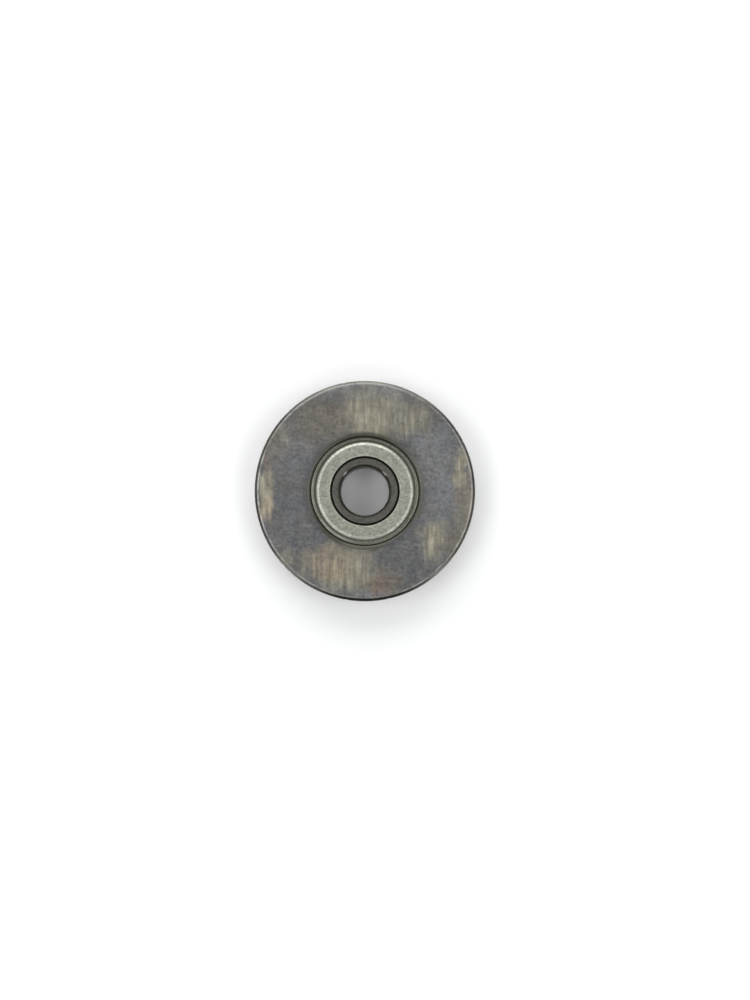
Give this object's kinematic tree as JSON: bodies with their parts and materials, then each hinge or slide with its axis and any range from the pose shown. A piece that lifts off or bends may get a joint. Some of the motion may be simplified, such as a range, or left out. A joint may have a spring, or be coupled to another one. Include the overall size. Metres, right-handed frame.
{
  "type": "seam roller wheel",
  "caption": "Steel roller wheel with a shielded ball bearing pressed into its centre, for seaming or forming sheet; turns on a plain axle.",
  "frame": {"origin": "centre of the roller's lower face, on the bearing's axis", "axes": "+Z along the bearing's axis, out of the roller's upper face; X and Y are any two directions across it, because the wheel is round"},
  "size_m": [0.045, 0.045, 0.008],
  "materials": {
    "roller_steel": "oiled, heat-tinted blue-grey and tan steel with fine grinding marks and worn rims",
    "bearing_steel": "ground hardened bearing steel, satin and slightly oily",
    "shield_zinc": "matte zinc-coated pressed steel with a fine mottled grain and a rolled rim",
    "cage_steel": "pressed low-carbon steel strip, satin",
    "ball_steel": "polished chromium steel"
  },
  "bodies": {
    "inner_ring": {"bearing_inner_ring": "bearing_steel"},
    "roller": {"roller_body": "roller_steel", "bearing_outer_ring": "bearing_steel", "upper_shield": "shield_zinc", "lower_shield": "shield_zinc"},
    "cage": {"upper_cage_ribbon": "cage_steel", "lower_cage_ribbon": "cage_steel", "cage_rivet_1": "cage_steel", "cage_rivet_2": "cage_steel", "cage_rivet_3": "cage_steel", "cage_rivet_4": "cage_steel", "cage_rivet_5": "cage_steel", "cage_rivet_6": "cage_steel", "cage_rivet_7": "cage_steel", "cage_rivet_8": "cage_steel", "cage_rivet_9": "cage_steel"},
    "ball_1": {"ball_1": "ball_steel"},
    "ball_2": {"ball_2": "ball_steel"},
    "ball_3": {"ball_3": "ball_steel"},
    "ball_4": {"ball_4": "ball_steel"},
    "ball_5": {"ball_5": "ball_steel"},
    "ball_6": {"ball_6": "ball_steel"},
    "ball_7": {"ball_7": "ball_steel"},
    "ball_8": {"ball_8": "ball_steel"},
    "ball_9": {"ball_9": "ball_steel"}
  },
  "joints": [
    {"name": "roller_spin", "type": "hinge", "parent": "inner_ring", "child": "roller", "pos_m": [0, 0, 0.0049], "axis": [0, 0, 1], "continuous": true},
    {"name": "cage_spin", "type": "hinge", "parent": "inner_ring", "child": "cage", "pos_m": [0, 0, 0.0049], "axis": [0, 0, 1], "continuous": true},
    {"name": "ball_1_spin", "type": "hinge", "parent": "cage", "child": "ball_1", "pos_m": [0.008, 0, 0.0049], "axis": [0, 0, 1], "continuous": true},
    {"name": "ball_2_spin", "type": "hinge", "parent": "cage", "child": "ball_2", "pos_m": [0.00613, 0.00514, 0.0049], "axis": [0, 0, 1], "continuous": true},
    {"name": "ball_3_spin", "type": "hinge", "parent": "cage", "child": "ball_3", "pos_m": [0.00139, 0.00788, 0.0049], "axis": [0, 0, 1], "continuous": true},
    {"name": "ball_4_spin", "type": "hinge", "parent": "cage", "child": "ball_4", "pos_m": [-0.004, 0.00693, 0.0049], "axis": [0, 0, 1], "continuous": true},
    {"name": "ball_5_spin", "type": "hinge", "parent": "cage", "child": "ball_5", "pos_m": [-0.00752, 0.00274, 0.0049], "axis": [0, 0, 1], "continuous": true},
    {"name": "ball_6_spin", "type": "hinge", "parent": "cage", "child": "ball_6", "pos_m": [-0.00752, -0.00274, 0.0049], "axis": [0, 0, 1], "continuous": true},
    {"name": "ball_7_spin", "type": "hinge", "parent": "cage", "child": "ball_7", "pos_m": [-0.004, -0.00693, 0.0049], "axis": [0, 0, 1], "continuous": true},
    {"name": "ball_8_spin", "type": "hinge", "parent": "cage", "child": "ball_8", "pos_m": [0.00139, -0.00788, 0.0049], "axis": [0, 0, 1], "continuous": true},
    {"name": "ball_9_spin", "type": "hinge", "parent": "cage", "child": "ball_9", "pos_m": [0.00613, -0.00514, 0.0049], "axis": [0, 0, 1], "continuous": true}
  ],
  "couplings": [
    {"joint": "cage_spin", "follows": "roller_spin", "ratio": 0.59922},
    {"joint": "ball_1_spin", "follows": "roller_spin", "ratio": 2.4205},
    {"joint": "ball_2_spin", "follows": "roller_spin", "ratio": 2.4205},
    {"joint": "ball_3_spin", "follows": "roller_spin", "ratio": 2.4205},
    {"joint": "ball_4_spin", "follows": "roller_spin", "ratio": 2.4205},
    {"joint": "ball_5_spin", "follows": "roller_spin", "ratio": 2.4205},
    {"joint": "ball_6_spin", "follows": "roller_spin", "ratio": 2.4205},
    {"joint": "ball_7_spin", "follows": "roller_spin", "ratio": 2.4205},
    {"joint": "ball_8_spin", "follows": "roller_spin", "ratio": 2.4205},
    {"joint": "ball_9_spin", "follows": "roller_spin", "ratio": 2.4205}
  ]
}
